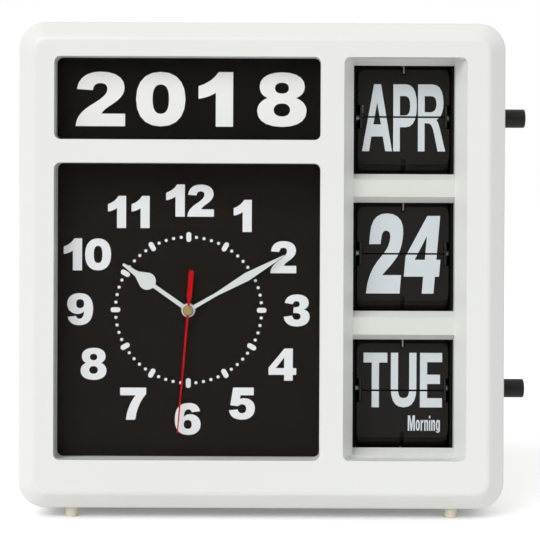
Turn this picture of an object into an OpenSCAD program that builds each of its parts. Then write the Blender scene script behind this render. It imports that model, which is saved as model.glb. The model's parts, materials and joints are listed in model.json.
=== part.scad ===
// Flip wall clock: a square moulded case with an analogue dial, a year card and three flip-leaf
// calendar reels, for month, date and weekday.
// Everything is modelled from the middle of the face: X to the right, Y into the depth, Z up.
// in_case() then stands it on its feet, with the middle of its footprint at the origin.

/* [Case] */
// Width of the case
case_w = 320; // [312:1:340]
// Height of the case without its feet
case_h = 320; // [312:1:340]
// Depth of the case from face to back
case_d = 88; // [87:1:100]
// Thickness of the case wall
wall = 2.6; // [2:0.1:3]
// Corner radius of the case
corner_r = 17.5; // [15:0.5:22]
// Width of the bevel round the face
bevel_w = 11; // [8:0.5:13]
// Depth of the bevel round the face
bevel_d = 10; // [8:0.5:12]
// Thickness of the rear cover
cover_t = 3; // [2.8:0.1:4]
// Height of a foot
foot_h = 6.5; // [4:0.5:12]
// Diameter of a foot where it meets the case
foot_d = 9; // [7:0.5:12]
// Distance of the feet from the sides of the case
foot_in = 34.5; // [25:0.5:60]
// Diameter of a cover screw's post
post_d = 9; // [8:0.5:10]

/* [Dial side] */
// Case edge to the left edge of the windows
margin_x = 24.7; // [23:0.1:28]
// Calendar recess to the right edge of the case
margin_right = 26; // [25:0.1:30]
// Case edge to the top edge of the windows
margin_z = 23.4; // [22:0.1:26]
// Dial window to the bottom edge of the case
margin_bottom = 33.3; // [30:0.1:38]
// Height of the year window
year_h = 54.1; // [45:0.1:58]
// Width of the bars between the windows
window_gap = 15.3; // [13:0.1:18]
// Corner radius of the windows
window_r = 4; // [2:0.5:6]
// Depth of the lens behind the face
lens_y = 9.6; // [8:0.1:10]
// Thickness of the lens
lens_t = 1.6; // [1:0.1:2]
// Depth of the year card behind the face
year_y = 14.4; // [13:0.1:15]
// Depth of the dial behind the face
dial_y = 18; // [17.6:0.1:20]
// Thickness of the dial plate
dial_t = 1.2; // [1:0.1:2]
// How far the hands' centre lies under the middle of the dial window
hub_drop = 0.05; // [0:0.05:3]
// Width and height of the quartz movement
movement_w = 56; // [50:1:60]
// Depth of the quartz movement
movement_d = 16; // [14:1:20]

/* [Hands] */
// Gap between the second hand's tip and the edge of the window
second_gap = 5.6; // [4:0.1:12]
// How much shorter the minute hand is than the second hand's needle
minute_less = 8.1; // [3:0.1:15]
// How much shorter the hour hand is than the minute hand
hour_less = 20.2; // [15:0.1:25]
// Length of the second hand's tail
tail_l = 26.5; // [20:0.1:32]
// Thickness of a hand
hand_t = 0.4; // [0.3:0.05:0.6]
// Hour on show, for the hands' rest angles
show_hour = 10; // [0:1:11]
// Minute on show
show_minute = 10; // [0:1:59]
// Second on show
show_second = 30.8; // [0:0.1:59.9]

/* [Calendar] */
// Width of the calendar recess at the face
recess_w = 80.4; // [78:0.1:84]
// Width of the calendar windows
cal_w = 67; // [66:0.1:70]
// Height of a bar between two calendar windows at their back edges
bar_h = 19.1; // [18:0.1:21]
// How far a window's sill slopes back above and below
cal_slope = 4; // [2:0.1:5]
// Height of the recess above the top window's and under the bottom window's back edge, together
recess_more = 9.1; // [8:0.1:10]
// How far the middle of a window lies under its split line
window_drop = 2; // [1:0.1:3]
// Depth of the bars' front behind the face
bar_y = 15; // [12:0.5:16]
// Depth of the bars' back behind the face
bar_back = 24; // [22:0.5:24]
// Depth of the front leaves behind the face
leaf_y = 25.3; // [25.3:0.1:27]
// Number of month leaves
month_n = 24; // [12:12:24]
// Number of date leaves
date_n = 31; // [31:1:31]
// Number of weekday leaves
weekday_n = 28; // [14:14:28]

/* [Leaves and reels] */
// Width of a leaf
leaf_w = 61; // [58:0.5:61.5]
// How much less than half of a window's height a leaf is
leaf_less = 4.6; // [4:0.1:8]
// Thickness of a leaf
leaf_t = 0.3; // [0.2:0.05:0.35]
// Radius of a leaf's outer corners
leaf_r = 5; // [2:0.5:8]
// Height of a leaf's side notches from the split line
notch_h = 7.9; // [7.6:0.1:9]
// Gap between the upper and the lower leaf
split_gap = 0.8; // [0.4:0.1:1.2]
// Radius of a leaf's pins
pin_r = 0.5; // [0.4:0.05:0.55]
// Radius of the circle that the leaf pins stand on
ring_r = 15.8; // [15:0.1:16]
// Radius of the reel discs
disc_r = 17.2; // [17:0.1:17.3]
// Thickness of a reel disc
disc_t = 1.5; // [1:0.1:2]
// Radius of the reel hub
hub_r = 6; // [5:0.5:8]
// Radius of the reel axles
axle_r = 3; // [2.5:0.1:3.2]
// Gap between the leaves at the back of a reel and the rear cover
leaf_gap = 5.9; // [5:0.1:8]

/* [Knobs and clearances] */
// Diameter of a knob
knob_d = 12.5; // [10:0.5:16]
// Length of a knob
knob_l = 15.5; // [12:0.5:20]
// Diameter of the raised ring round a knob's hole
boss_d = 25; // [20:1:30]
// Height of the raised ring round a knob's hole
boss_h = 1; // [0.6:0.1:2]
// Gap between a knob and its ring
knob_gap = 0.4; // [0.2:0.1:1]
// Radial clearance of a turning fit
run = 0.05; // [0.03:0.01:0.08]
// Clearance of pieces that are set into each other
fit = 0.2; // [0.1:0.05:0.3]

/* [Hidden] */
$fn = 48;

knob_reach = boss_h + knob_gap + knob_l;
shell_d = case_d - cover_t;

// Windows of the dial side, by their middle
window_w = case_w - margin_x - window_gap - recess_w - margin_right;
dial_h = case_h - margin_z - margin_bottom - year_h - window_gap;
window_x = -case_w / 2 + margin_x + window_w / 2;
window_top = case_h / 2 - margin_z;
year_z = window_top - year_h / 2;
dial_z = window_top - year_h - window_gap - dial_h / 2;
recess_h = year_h + window_gap + dial_h;
recess_z = window_top - recess_h / 2;
return_t = 2;
lens_rim = 3;
lens_back = lens_y + lens_t;
frame_rim = 9.5;
frame_screw_out = 6.5;
hub_x = window_x;
foot_x = case_w / 2 - foot_in;
hub_z = dial_z - hub_drop;
second_l = min(window_w, dial_h) / 2 - second_gap;
minute_l = second_l - minute_less;
hour_l = minute_l - hour_less;

// Calendar
cal_x = window_x + window_w / 2 + window_gap + recess_w / 2;
split_up = 2.85;
reel_pitch = (recess_h + bar_h - recess_more) / 3;
cal_h = reel_pitch - bar_h;
leaf_h = cal_h / 2 - leaf_less;
reel_z = [for (i = [1, 0, -1]) recess_z + split_up + i * reel_pitch];
reel_y = leaf_y + ring_r;
// Leaves at the back of a reel hang below level by this angle, so that they clear the cover
droop = atan(0.707 * leaf_h / (shell_d - leaf_gap - reel_y - ring_r));
plate_t = 2;
plate_gap = 0.9;
plate_x = leaf_w / 2 + plate_gap;
chassis_y = 24.9;
chassis_back = shell_d - 11;
bridge_t = 2.5;
bridge_h = 12;
chassis_top = recess_z + recess_h / 2 + 2;
chassis_bottom = recess_z - recess_h / 2 - 2;
bridge_screw_x = 39.5;
neck = 27;
disc_x = neck + 0.4;
slot_w = 3;
slot_h = 3.4;
finger_w = 1;
finger_t = 0.4;
finger_lap = 2.5;

// Planes of the carry train, outside the left plate
plane_gap = 0.8;
wheel_t = 2;
plane_a = -plate_x - plate_t - plane_gap - wheel_t;
plane_b = plane_a - plane_gap - wheel_t;
stud_r = 2;
cam_r = 13;
cam_valley = 9.5;
ratchet_r = 10;
ratchet_root = 8.8;
gear_m = 0.8;
gear_teeth = 42;
pinion_teeth = 14;
gear_distance = gear_m * (gear_teeth + pinion_teeth) / 2;
motor_gap = 4.5;
motor_w = 2 * (shell_d - motor_gap - reel_y - gear_distance);
motor_d = 24;

// Rest angles of the hands, clockwise from twelve
second_a = show_second * 6;
minute_a = show_minute * 6;
hour_a = show_hour * 30 + show_minute / 2;
hour_y = dial_y - 1.8;
minute_y = hour_y - 1.4;
second_y = minute_y - 1.4;

// Rear cover
set_drop = 14;
set_x = hub_x;
set_z = hub_z - set_drop;
well_r = 16;
well_d = 9;
door_w = 76;
door_h = 40;
door_z = -case_h / 2 + 51;
door_tongue = 2;
cell_r = 16.9;
cell_l = 61.5;
box_wall = 2;
box_w = cell_l + 4.5;
box_h = 36;
box_x = -case_w / 2 + wall + 5 + box_wall + box_w / 2;
box_y = shell_d - 36.5;
hang_z = case_h / 2 - 42;
post_in = 12;

// Outline of a rectangle with rounded corners
function round_rect(w, h, r, n = 6) = [
    for (c = [[1, 1, 0], [-1, 1, 90], [-1, -1, 180], [1, -1, 270]])
        for (i = [0:n])
            let (a = c[2] + 90 * i / n)
                [c[0] * (w / 2 - r) + r * cos(a), c[1] * (h / 2 - r) + r * sin(a)]
];

// Bevel profile as depth and inset, with a soft edge at the face and at the side
function bevel_profile() = [
    [0, bevel_w + 1.6], [0.35, bevel_w + 0.1], [1.1, bevel_w - 1.1],
    [bevel_d - 1.4, 1.5], [bevel_d, 0.6], [bevel_d + 2.5, 0]
];

// Angle of a leaf whose pin stands at angle t round the reel, both from the back, upwards
function leaf_angle(t, a) = let (u = t / (180 - a)) 90 * u - droop * pow(1 - u * u, 2);

// Half of a leaf's outline, from the hinge edge to the slot in its tip
function leaf_half(a) =
    let (pin_up = ring_r * sin(a), tip = leaf_h - pin_up, up = notch_h - pin_up)
    concat(
        [[neck, split_gap / 2 - pin_up], [neck, up], [leaf_w / 2, up]],
        [for (i = [0:5]) [leaf_w / 2 - leaf_r + leaf_r * cos(18 * i), tip - leaf_r + leaf_r * sin(18 * i)]],
        [[slot_w / 2, tip], [slot_w / 2, tip - slot_h]]
    );

function mirrored(half) = concat(half, [for (i = [len(half) - 1:-1:0]) [-half[i][0], half[i][1]]]);

// Outline of a spur gear with straight flanks
function gear_outline(n, m) = let (r = n * m / 2, p = 360 / n) [
    for (i = [0:n - 1])
        for (c = [[-0.3, -1.1], [-0.1, 0.7], [0.1, 0.7], [0.3, -1.1]])
            (r + c[1] * m) * [cos((i + c[0]) * p), sin((i + c[0]) * p)]
];

// Outline of a ratchet that is pushed on its steep flanks, one of which stands half a step before the top
function ratchet_outline(n, r, root) = [
    for (i = [0:n - 1])
        for (c = [[0, root], [0.04, r]])
            c[1] * [cos((i - 0.5 + c[0]) * 360 / n + 90), sin((i - 0.5 + c[0]) * 360 / n + 90)]
];

// Outline of a cam with round lobes
function cam_outline(lobes, turn) = [
    for (i = [0:119])
        let (a = 3 * i, s = max(0, cos(lobes * (a - turn))))
            (cam_valley + (cam_r - cam_valley) * pow(s, lobes > 1 ? 2 : 30)) * [cos(a), sin(a)]
];

module in_case() translate([-knob_reach / 2, -case_d / 2, foot_h + case_h / 2]) children();

// A flat shape drawn in X and Z, from depth y0 to y1
module slab(y0, y1) translate([0, y1, 0]) rotate([90, 0, 0]) linear_extrude(y1 - y0) children();

// A flat shape drawn in Y and Z, from x0 to x1
module across(x0, x1) translate([x0, 0, 0]) rotate([90, 0, 90]) linear_extrude(x1 - x0) children();

module rod_x(r, x0, x1) translate([x0, 0, 0]) rotate([0, 90, 0]) cylinder(r = r, h = x1 - x0);
module rod_y(r, y0, y1) translate([0, y0, 0]) rotate([-90, 0, 0]) cylinder(r = r, h = y1 - y0);

module at_window(z) translate([window_x, 0, z]) children();
module at_reel(i) translate([cal_x, reel_y, reel_z[i]]) children();
module at_hub() translate([hub_x, 0, hub_z]) children();

module at_frame_screws() for (x = [-1, 1], z = [-1, 1])
    translate([window_x + x * (window_w / 2 + frame_screw_out), 0,
        recess_z + z * (recess_h / 2 + frame_screw_out)]) children();

module at_bridge_screws() for (x = [-1, 1]) {
    translate([cal_x + x * bridge_screw_x, 0, chassis_top + bridge_h / 2]) children();
    translate([cal_x + x * bridge_screw_x, 0, chassis_bottom - bridge_h / 2]) children();
}

module at_cover_screws() for (x = [-1, 0, 1], z = [-1, 1])
    translate([x * (case_w / 2 - post_in), 0, z * (case_h / 2 - post_in)]) children();

// Solid through a stack of rings that have as many points as each other, from front to back
module loft(rings) {
    n = len(rings[0]);
    last = len(rings) - 1;
    polyhedron(
        points = [for (ring = rings) each ring],
        faces = concat(
            [[for (i = [n - 1:-1:0]) i]],
            [[for (i = [0:n - 1]) last * n + i]],
            [for (j = [0:last - 1], i = [0:n - 1], f = [[0, 1, n + 1], [0, n + 1, n]])
                [for (v = f) (j + floor(v / n)) * n + (i + v % n) % n]]
        )
    );
}

// A rounded rectangle at depth y
function ring(y, w, h, r, n) = [for (q = round_rect(w, h, r, n)) [q[0], y, q[1]]];

// The case's outer form, or its hollow when it is set in by g
module case_form(g, back) loft([
    for (p = concat(bevel_profile(), [[back - g, 0]]))
        ring(p[0] + g, case_w - 2 * (p[1] + g), case_h - 2 * (p[1] + g),
            max(2, corner_r - g - 0.8 * p[1]), 8)
]);

module recess_form(g) loft([
    ring(-1, recess_w + 2 * g, recess_h + 2 * g, window_r + g, 6),
    ring(0, recess_w + 2 * g, recess_h + 2 * g, window_r + g, 6),
    ring(bar_y, cal_w + 2 * g, recess_h + 2 * g, window_r / 2 + g, 6)
]);

// One calendar window, its sill sloping back above and below
module cal_window(i) translate([cal_x, 0, reel_z[i] - window_drop]) across(-cal_w / 2, cal_w / 2)
    polygon([[bar_y - 0.1, -cal_h / 2 - cal_slope], [bar_back, -cal_h / 2], [bar_back + 1, -cal_h / 2],
        [bar_back + 1, cal_h / 2], [bar_back, cal_h / 2], [bar_y - 0.1, cal_h / 2 + cal_slope]]);

module front_case() color("#E7E8E4") in_case() {
    difference() {
        union() {
            difference() {
                case_form(0, shell_d);
                difference() {
                    case_form(wall, shell_d + 2 * wall);
                    for (z = [[year_z, year_h], [dial_z, dial_h]]) at_window(z[0])
                        slab(0, lens_y)
                            polygon(round_rect(window_w + 2 * return_t, z[1] + 2 * return_t, window_r + return_t));
                    translate([cal_x, 0, recess_z]) recess_form(return_t);
                    translate([cal_x, 0, recess_z]) slab(bar_y - 1, bar_back)
                        square([cal_w + 2 * return_t, recess_h + 2 * return_t], center = true);
                    at_frame_screws() rod_y(3, 0, lens_back);
                    at_bridge_screws() rod_y(3.5, 0, chassis_y);
                    at_cover_screws() rod_y(post_d / 2, 0, shell_d);
                }
            }
            for (i = [0, 2]) translate([0, reel_y, reel_z[i]])
                rod_x(boss_d / 2, case_w / 2 - wall, case_w / 2 + boss_h);
        }
        for (z = [[year_z, year_h], [dial_z, dial_h]]) at_window(z[0])
            slab(-1, lens_y + 1) polygon(round_rect(window_w, z[1], window_r));
        translate([cal_x, 0, recess_z]) recess_form(0);
        for (i = [0:2]) cal_window(i);
        for (i = [0, 2]) translate([0, reel_y, reel_z[i]])
            rod_x(axle_r + fit, case_w / 2 - 2 * wall, case_w / 2 + 2 * boss_h);
        at_frame_screws() rod_y(1.1, wall, lens_back + 1);
        at_bridge_screws() rod_y(1.1, chassis_y - 12, chassis_y + 1);
        at_cover_screws() rod_y(1.3, shell_d - 14, shell_d + 1);
        foot_places() translate([0, 0, -1]) cylinder(r = 2 + fit / 2, h = 2 * wall + 2);
    }
}

module rear_cover() color("#E4E5E1") in_case() difference() {
    union() {
        slab(shell_d, case_d) polygon(round_rect(case_w, case_h, corner_r, 8));
        difference() {
            slab(shell_d - 4, shell_d)
                polygon(round_rect(case_w - 2 * wall - 2 * fit, case_h - 2 * wall - 2 * fit,
                    corner_r - wall - fit, 8));
            slab(shell_d - 5, shell_d)
                polygon(round_rect(case_w - 4 * wall, case_h - 4 * wall, corner_r - 2 * wall, 8));
        }
        translate([set_x, 0, set_z]) rod_y(well_r + 2, case_d - well_d - 2, case_d - 0.5);
    }
    at_cover_screws() {
        rod_y(1.9, shell_d - 1, case_d + 1);
        rod_y(3.6, case_d - 1.6, case_d + 1);
    }
    translate([set_x, 0, set_z]) {
        rod_y(well_r, case_d - well_d, case_d + 1);
        rod_y(2 + fit, case_d - well_d - 3, case_d);
    }
    // Way for the battery door, with a groove for its tongues, and the mouth of the battery box
    translate([-case_w / 2 - 1, case_d - 2.2 - fit / 2, door_z - door_h / 2 - fit])
        cube([door_w + 1 + fit, 4, door_h + 2 * fit]);
    translate([-case_w / 2 - 1, case_d - 2.2 - fit / 2, door_z - door_h / 2 - door_tongue - fit])
        cube([door_w + 1 + fit, 1 + fit, door_h + 2 * door_tongue + 2 * fit]);
    translate([box_x - box_w / 2, shell_d - 1, door_z - box_h / 2]) cube([box_w, 5, box_h]);
    translate([-case_w / 2 - 1, shell_d - 5, door_z - box_h / 2 - box_wall - fit])
        cube([3 * wall, 5, box_h + 2 * box_wall + 2 * fit]);
    // Keyhole for the wall hook
    translate([0, 0, hang_z]) {
        rod_y(6, shell_d - 1, case_d + 1);
        translate([-3, shell_d - 1, 0]) cube([6, cover_t + 2, 12]);
        translate([0, 0, 12]) rod_y(3, shell_d - 1, case_d + 1);
    }
}

module rear_cover_screws() color("#B9BCC0") in_case() at_cover_screws() {
    rod_y(3.3, case_d - 1.6, case_d - 0.2);
    rod_y(1.25, case_d - 14, case_d - 1.6);
}

module foot_places() for (x = [-1, 1], y = [18, shell_d - 18])
    translate([x * foot_x, y, -case_h / 2]) children();

module feet() color("#DDD8C8") in_case() foot_places() {
    translate([0, 0, -foot_h]) cylinder(r1 = foot_d / 2 - 0.6, r2 = foot_d / 2, h = foot_h);
    translate([0, 0, -0.5]) cylinder(r = 2, h = wall + 0.5);
}

module hanger_plate() color("#A9ADB2") in_case() difference() {
    slab(shell_d - 1.2, shell_d) translate([0, hang_z + 4]) square([36, 34], center = true);
    translate([0, 0, hang_z]) {
        rod_y(5, shell_d - 2, shell_d + 1);
        translate([-2, shell_d - 2, 0]) cube([4, 3, 11]);
        translate([0, 0, 11]) rod_y(2, shell_d - 2, shell_d + 1);
    }
}

module front_lens() color("#DDE6E8", 0.25) in_case() translate([window_x, 0, recess_z])
    slab(lens_y, lens_back)
        polygon(round_rect(window_w + 2 * lens_rim, recess_h + 2 * lens_rim, window_r));

module inner_frame() color("#E2E3DF") in_case() difference() {
    translate([window_x, 0, recess_z]) slab(lens_back, dial_y)
        polygon(round_rect(window_w + 2 * frame_rim, recess_h + 2 * frame_rim, 4));
    for (z = [[year_z, year_h], [dial_z, dial_h]]) at_window(z[0])
        slab(lens_back - 1, dial_y + 1) polygon(round_rect(window_w, z[1], window_r));
    // Slot that the year card slides into from the right
    translate([window_x - window_w / 2 - lens_rim, year_y - 0.1, year_z - year_h / 2 - lens_rim])
        cube([window_w + lens_rim + frame_rim + 1, 1.2, year_h + 2 * lens_rim]);
    at_frame_screws() rod_y(1.6, lens_back - 1, dial_y + 1);
    at_cover_screws() rod_y(post_d / 2 + fit, lens_back - 1, dial_y + 1);
}

module frame_screws() color("#B9BCC0") in_case() at_frame_screws() {
    rod_y(2.8, dial_y, dial_y + 1.4);
    rod_y(1.05, lens_back - 6, dial_y);
}

module year_card() color("#121314") in_case()
    translate([window_x - window_w / 2 - lens_rim + fit, year_y, year_z - year_h / 2 - lens_rim + fit])
        cube([window_w + 2 * lens_rim - fit, 1, year_h + 2 * lens_rim - 2 * fit]);

module dial_plate() color("#17181A") in_case() {
    difference() {
        at_window(dial_z) slab(dial_y, dial_y + dial_t)
            polygon(round_rect(window_w + 2 * lens_rim, dial_h + 2 * lens_rim, window_r));
        at_hub() rod_y(4, dial_y - 1, dial_y + dial_t + 1);
    }
    // Clips that hold the movement
    for (a = [0:90:270]) at_hub() rotate([0, a, 0]) {
        translate([movement_w / 2 + fit, dial_y + dial_t - 0.1, -6]) cube([1.6, movement_d + 3, 12]);
        translate([movement_w / 2 - 1.6, dial_y + dial_t + movement_d + fit, -6])
            cube([3, 2.9 - fit, 12]);
    }
}

module movement_case() color("#1C1D1F") in_case() at_hub() difference() {
    slab(dial_y + dial_t, dial_y + dial_t + movement_d)
        polygon(round_rect(movement_w, movement_w, 4));
    rod_y(3.5, dial_y, dial_y + 9);
    translate([0, 0, -set_drop]) rod_y(2 + run, dial_y + movement_d - 5, dial_y + movement_d + 3);
}

module movement_bushing() color("#C8A24A") in_case() at_hub() difference() {
    union() {
        rod_y(3.6, dial_y - 0.6, dial_y + dial_t);
        rod_y(3.5 - run, dial_y + 1, dial_y + 8);
    }
    rod_y(2.6 + run, dial_y - 1, dial_y + 9);
}

module hour_pipe() color("#C8A24A") in_case() at_hub() difference() {
    rod_y(2.6, hour_y, dial_y + 7);
    rod_y(1.7 + run, hour_y - 1, dial_y + 8);
}

module minute_arbor() color("#C8A24A") in_case() at_hub() difference() {
    rod_y(1.7, minute_y, dial_y + 7);
    rod_y(0.7 + run, minute_y - 1, dial_y + 8);
}

module second_arbor() color("#B9BCC0") in_case() at_hub() rod_y(0.7, second_y, dial_y + 7);

module hour_hand() color("#F2F2EE") in_case() at_hub() rotate([0, hour_a, 0]) difference() {
    union() {
        rod_y(4.6, hour_y - hand_t, hour_y);
        translate([0, 0, hour_l * 0.63]) rod_y(5.7, hour_y - hand_t, hour_y);
        slab(hour_y - hand_t, hour_y)
            polygon([[-1.4, 0], [-1.3, hour_l * 0.6], [1.3, hour_l * 0.6], [1.4, 0]]);
        slab(hour_y - hand_t, hour_y)
            polygon([[-4.4, hour_l * 0.7], [-1.9, hour_l * 0.79], [-0.8, hour_l],
                [0.8, hour_l], [1.9, hour_l * 0.79], [4.4, hour_l * 0.7]]);
    }
    rod_y(1.7 + 2 * run, hour_y - 2, hour_y + 1);
}

module minute_hand() color("#F2F2EE") in_case() at_hub() rotate([0, minute_a, 0]) difference() {
    union() {
        rod_y(4.4, minute_y - hand_t, minute_y);
        slab(minute_y - hand_t, minute_y)
            polygon([[-1.3, 0], [-1.1, minute_l * 0.3], [-2.8, minute_l * 0.61], [-0.35, minute_l],
                [0.35, minute_l], [2.8, minute_l * 0.61], [1.1, minute_l * 0.3], [1.3, 0]]);
    }
    rod_y(0.7 + 2 * run, minute_y - 2, minute_y + 1);
}

module second_hand() color("#D0141C") in_case() at_hub() rotate([0, second_a, 0]) {
    rod_y(2.6, second_y - hand_t, second_y);
    slab(second_y - hand_t, second_y)
        polygon([[-0.75, 0], [-0.4, second_l], [0.4, second_l], [0.75, 0]]);
    slab(second_y - hand_t, second_y)
        polygon([[-0.8, 0], [-0.8, -6.6], [-1.6, -8.7], [-1.6, -tail_l],
            [1.6, -tail_l], [1.6, -8.7], [0.8, -6.6], [0.8, 0]]);
}

module second_hand_cap() color("#C8A24A") in_case() at_hub() translate([0, second_y - hand_t, 0])
    rotate([90, 0, 0]) rotate_extrude()
        polygon([[0, 0], [3.45, 0], [3.45, 0.25], [3, 0.7], [1.6, 0.85], [1.5, 1.1], [0, 1.2]]);

module time_set_knob() color("#1B1C1E") in_case() translate([set_x, 0, set_z]) {
    rod_y(2, dial_y + movement_d - 4, case_d - 6);
    rod_y(9, case_d - 7, case_d - 1);
}

module chassis_plate(side) color("#141517") in_case() translate([cal_x, 0, 0]) difference() {
    union() {
        across(side < 0 ? -plate_x - plate_t : plate_x, side < 0 ? -plate_x : plate_x + plate_t)
            translate([chassis_y, chassis_bottom])
                square([chassis_back - chassis_y, chassis_top - chassis_bottom]);
        if (side < 0) for (i = [0, 1]) translate([0, reel_y, (reel_z[i] + reel_z[i + 1]) / 2])
            rod_x(stud_r, plane_b - 1, -plate_x - plate_t / 2);
    }
    for (i = [0:2]) translate([0, reel_y, reel_z[i]])
        rod_x(axle_r + run, -plate_x - 2 * plate_t, plate_x + 2 * plate_t);
    for (i = [0:2]) translate([0, reel_y + 20, reel_z[i]])
        rod_x(9, -plate_x - 2 * plate_t, plate_x + 2 * plate_t);
}

module chassis_left_plate() chassis_plate(-1);
module chassis_right_plate() chassis_plate(1);

module chassis_bridges() color("#141517") in_case() translate([cal_x, 0, 0]) difference() {
    slab(chassis_y, chassis_y + bridge_t) {
        for (z = [chassis_top, chassis_bottom - bridge_h]) translate([-bridge_screw_x - 4.5, z])
            square([2 * bridge_screw_x + 9, bridge_h]);
        for (i = [0, 1])
            translate([-plate_x, (reel_z[i] + reel_z[i + 1]) / 2 - window_drop - 2.5])
                square([2 * plate_x, 5]);
    }
    translate([-cal_x, 0, 0]) at_bridge_screws() rod_y(1.5, 0, chassis_back);
}

module chassis_tie_rods() color("#B9BCC0") in_case() for (i = [0, 1])
    translate([cal_x, 0, (reel_z[i] + reel_z[i + 1]) / 2 - window_drop - 2]) {
        translate([0, 60, 0]) rod_x(2.5, -plate_x, plate_x);
    }

module chassis_screws() color("#B9BCC0") in_case() at_bridge_screws() {
    rod_y(2.8, chassis_y + bridge_t, chassis_y + bridge_t + 1.5);
    rod_y(1.05, chassis_y - 8, chassis_y + bridge_t);
}

module catch_fingers() color("#8E9196") in_case() for (i = [0:2])
    translate([cal_x, chassis_y - finger_t, 0]) {
        top = i == 0 ? chassis_top + 4 : (reel_z[i - 1] + reel_z[i]) / 2 - window_drop + 2;
        tip = reel_z[i] + leaf_h - finger_lap;
        translate([-finger_w / 2, 0, tip]) cube([finger_w, finger_t, top - tip]);
        translate([-3, 0, top - 4]) cube([6, finger_t, 4]);
    }

module reel_axle(i, x0, x1) color("#B9BCC0") in_case() at_reel(i) rod_x(axle_r, x0, x1);

module month_axle() reel_axle(0, plane_b - 1, case_w / 2 + knob_reach - cal_x - 4);
module date_axle() reel_axle(1, plane_b - 1, plate_x + plate_t + 2);
module weekday_axle() reel_axle(2, plane_b - 1, case_w / 2 + knob_reach - cal_x - 4);

// Hub and two pierced discs, with a hole for each leaf pin
module reel(i, n) color("#18191B") in_case() at_reel(i) difference() {
    union() {
        rod_x(hub_r, -disc_x, disc_x);
        for (x = [-disc_x - disc_t, disc_x]) rod_x(disc_r, x, x + disc_t);
    }
    rod_x(axle_r + 0.02, -disc_x - 2 * disc_t, disc_x + 2 * disc_t);
    for (k = [0:n - 1]) rotate([leaf_pin_angle(k, n), 0, 0]) translate([0, ring_r, 0])
        rod_x(pin_r + run, -disc_x - 2 * disc_t, disc_x + 2 * disc_t);
}

module month_reel() reel(0, month_n);
module date_reel() reel(1, date_n);
module weekday_reel() reel(2, weekday_n);

// Angle of leaf k round the reel: the front upper leaf is 0, and the front lower leaf is n - 1
function leaf_pin_angle(k, n) = 180 - 180 / n - k * 360 / n;

// One leaf with its two pins, placed on its reel
module leaf(i, k, n) at_reel(i) {
    a = 180 / n;
    t = leaf_pin_angle(k, n);
    translate([0, ring_r * cos(t), ring_r * sin(t)]) rotate([leaf_angle(t, a) - 90, 0, 0]) {
        slab(-leaf_t / 2, leaf_t / 2) polygon(mirrored(leaf_half(a)));
        rod_x(pin_r, neck - 0.01, disc_x + disc_t + 0.3);
        rod_x(pin_r, -disc_x - disc_t - 0.3, -neck + 0.01);
    }
}

module leaves(i, n) color("#1D1E20") in_case() for (k = [2:n - 2]) leaf(i, k, n);
module front_leaf(i, k, n) color("#1D1E20") in_case() leaf(i, k, n);

module month_leaves() leaves(0, month_n);
module month_top_leaf() front_leaf(0, 0, month_n);
module month_next_leaf() front_leaf(0, 1, month_n);
module month_bottom_leaf() front_leaf(0, month_n - 1, month_n);
module date_leaves() leaves(1, date_n);
module date_top_leaf() front_leaf(1, 0, date_n);
module date_next_leaf() front_leaf(1, 1, date_n);
module date_bottom_leaf() front_leaf(1, date_n - 1, date_n);
module weekday_leaves() leaves(2, weekday_n);
module weekday_top_leaf() front_leaf(2, 0, weekday_n);
module weekday_next_leaf() front_leaf(2, 1, weekday_n);
module weekday_bottom_leaf() front_leaf(2, weekday_n - 1, weekday_n);

// Knob with a domed end, on the end of its reel's axle
module knob(i) color("#232021") in_case() translate([0, reel_y, reel_z[i]]) difference() {
    translate([case_w / 2 + boss_h + knob_gap, 0, 0]) rotate([0, 90, 0]) rotate_extrude()
        polygon([[0, 0], [knob_d / 2 - 0.4, 0], [knob_d / 2, 0.4], [knob_d / 2, knob_l - 1.2],
            [knob_d / 2 - 0.4, knob_l - 0.6], [knob_d / 2 - 1.4, knob_l - 0.3],
            [knob_d / 4, knob_l - 0.05], [0, knob_l]]);
    rod_x(axle_r + 0.02, case_w / 2, case_w / 2 + knob_reach - 4);
}

module month_knob() knob(0);
module weekday_knob() knob(2);

module bored(i, plane) color("#D9D6CC") in_case() at_reel(i) difference() {
    across(plane, plane + wheel_t) children();
    rod_x(axle_r + 0.02, plane - 1, plane + wheel_t + 1);
}

module weekday_gear() bored(2, plane_b) polygon(gear_outline(gear_teeth, gear_m));
module weekday_cam() bored(2, plane_a) polygon(cam_outline(7, 19));
module date_ratchet() bored(1, plane_a) polygon(ratchet_outline(date_n, ratchet_r, ratchet_root));
module date_cam() bored(1, plane_b) polygon(cam_outline(1, 150));
module month_ratchet() bored(0, plane_b) polygon(ratchet_outline(month_n, ratchet_r, ratchet_root));

module calendar_motor() color("#D9D6CC") in_case() at_reel(2) difference() {
    translate([plane_b - 1.2 - motor_d, gear_distance - motor_w / 2, -motor_w / 2])
        cube([motor_d, motor_w, motor_w]);
    translate([0, gear_distance, 0]) rod_x(1 + run, plane_b - 9, plane_b);
}

module motor_pinion() color("#C8A24A") in_case() at_reel(2) translate([0, gear_distance, 0]) {
    across(plane_b, plane_b + wheel_t)
        rotate(180 + 180 / pinion_teeth) polygon(gear_outline(pinion_teeth, gear_m));
    rod_x(1, plane_b - 8, plane_b + 0.1);
}

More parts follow.
